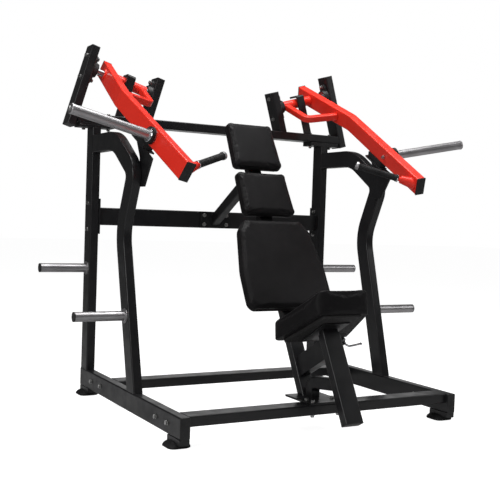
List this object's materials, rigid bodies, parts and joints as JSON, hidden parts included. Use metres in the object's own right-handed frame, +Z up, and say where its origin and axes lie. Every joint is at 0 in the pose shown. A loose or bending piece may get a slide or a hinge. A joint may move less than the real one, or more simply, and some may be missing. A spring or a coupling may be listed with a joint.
{
  "type": "chest press machine",
  "caption": "Plate-loaded chest press machine with two independent swinging press arms, reclined padded back, sloping height-adjustable seat and plate storage pegs.",
  "frame": {"origin": "on the floor under the middle of the machine's overall box", "axes": "+X to the seated user's left-right axis, towards the side with the seat lever; -Y towards the front, where the seat is; +Z up"},
  "size_m": [2.3836, 1.6742, 1.9858],
  "materials": {
    "black_paint": "gloss powder coat",
    "red_paint": "gloss powder coat",
    "satin_steel": "satin chromed tube",
    "shaft_steel": "ground bar",
    "bearing_iron": "painted casting",
    "zinc_bolt": "zinc plated",
    "lever_chrome": "polished",
    "pad_vinyl": "grained upholstery vinyl",
    "pad_board": "laminated board",
    "grip_rubber": "moulded",
    "black_rubber": "matt",
    "black_plastic": "moulded"
  },
  "bodies": {
    "frame": {"backrest_brace": "black_paint", "backrest_tube": "black_paint", "base_plate": "black_paint", "base_rail_left": "black_paint", "base_rail_right": "black_paint", "bearing_bolts": "zinc_bolt", "bearing_housings": "bearing_iron", "bearing_rings": "shaft_steel", "frame_bolts": "zinc_bolt", "frame_end_caps": "black_plastic", "front_crossbar": "black_paint", "front_post_left": "black_paint", "front_post_right": "black_paint", "head_pad": "pad_vinyl", "inner_bearing_posts": "black_paint", "leg_blocks": "black_paint", "lever_bracket": "black_paint", "lower_connector": "black_paint", "lower_pad": "pad_vinyl", "mid_bar_flanges": "black_paint", "mid_crossbar": "black_paint", "middle_pad": "pad_vinyl", "outer_bearing_posts": "black_paint", "pad_boards": "pad_board", "post_top_plates": "black_paint", "rear_crossbar": "black_paint", "rear_post_left": "black_paint", "rear_post_right": "black_paint", "rest_brackets": "black_paint", "rest_bumpers": "black_rubber", "rubber_feet": "black_rubber", "seat_post": "black_paint", "stop_hooks": "black_paint", "storage_pegs": "satin_steel", "top_bar_plates": "black_paint", "top_crossbar": "black_paint", "upper_connector": "black_paint"},
    "left_arm": {"arm_beam_left": "red_paint", "pivot_sleeve_left": "red_paint", "pivot_shaft_left": "shaft_steel", "arm_plugs_left": "black_plastic", "weight_horn_left": "satin_steel", "horn_stop_ring_left": "black_rubber", "arm_brace_left": "red_paint", "handle_left": "red_paint", "grip_left": "grip_rubber"},
    "right_arm": {"arm_beam_right": "red_paint", "pivot_sleeve_right": "red_paint", "pivot_shaft_right": "shaft_steel", "arm_plugs_right": "black_plastic", "weight_horn_right": "satin_steel", "horn_stop_ring_right": "black_rubber", "arm_brace_right": "red_paint", "handle_right": "red_paint", "grip_right": "grip_rubber"},
    "seat": {"seat_column": "black_paint", "seat_board": "pad_board", "seat_pad": "pad_vinyl"},
    "seat_lever": {"adjust_lever": "lever_chrome"},
    "seat_pin": {"lock_pin": "lever_chrome"}
  },
  "joints": [
    {"name": "left_arm_swing", "type": "hinge", "parent": "frame", "child": "left_arm", "pos_m": [-0.7978, 0.703, 1.8544], "axis": [-0.9588, 0, 0.284], "range_deg": [0, 50]},
    {"name": "right_arm_swing", "type": "hinge", "parent": "frame", "child": "right_arm", "pos_m": [0.7978, 0.703, 1.8544], "axis": [-0.9588, 0, -0.284], "range_deg": [0, 50]},
    {"name": "seat_height", "type": "slide", "parent": "frame", "child": "seat", "axis": [0, 0.4848, 0.8746], "range_m": [0, 0.1]},
    {"name": "lever_pull", "type": "hinge", "parent": "frame", "child": "seat_lever", "pos_m": [0.074, -0.60111, 0.47682], "axis": [0, -0.8746, 0.4848], "range_deg": [0, 25], "stiffness_Nm_per_rad": 1.5, "springref_deg": -11.46},
    {"name": "pin_draw", "type": "slide", "parent": "frame", "child": "seat_pin", "axis": [1, 0, 0], "range_m": [0, 0.0125]}
  ],
  "couplings": [
    {"joint": "pin_draw", "follows": "lever_pull", "m_per_rad": 0.026}
  ]
}
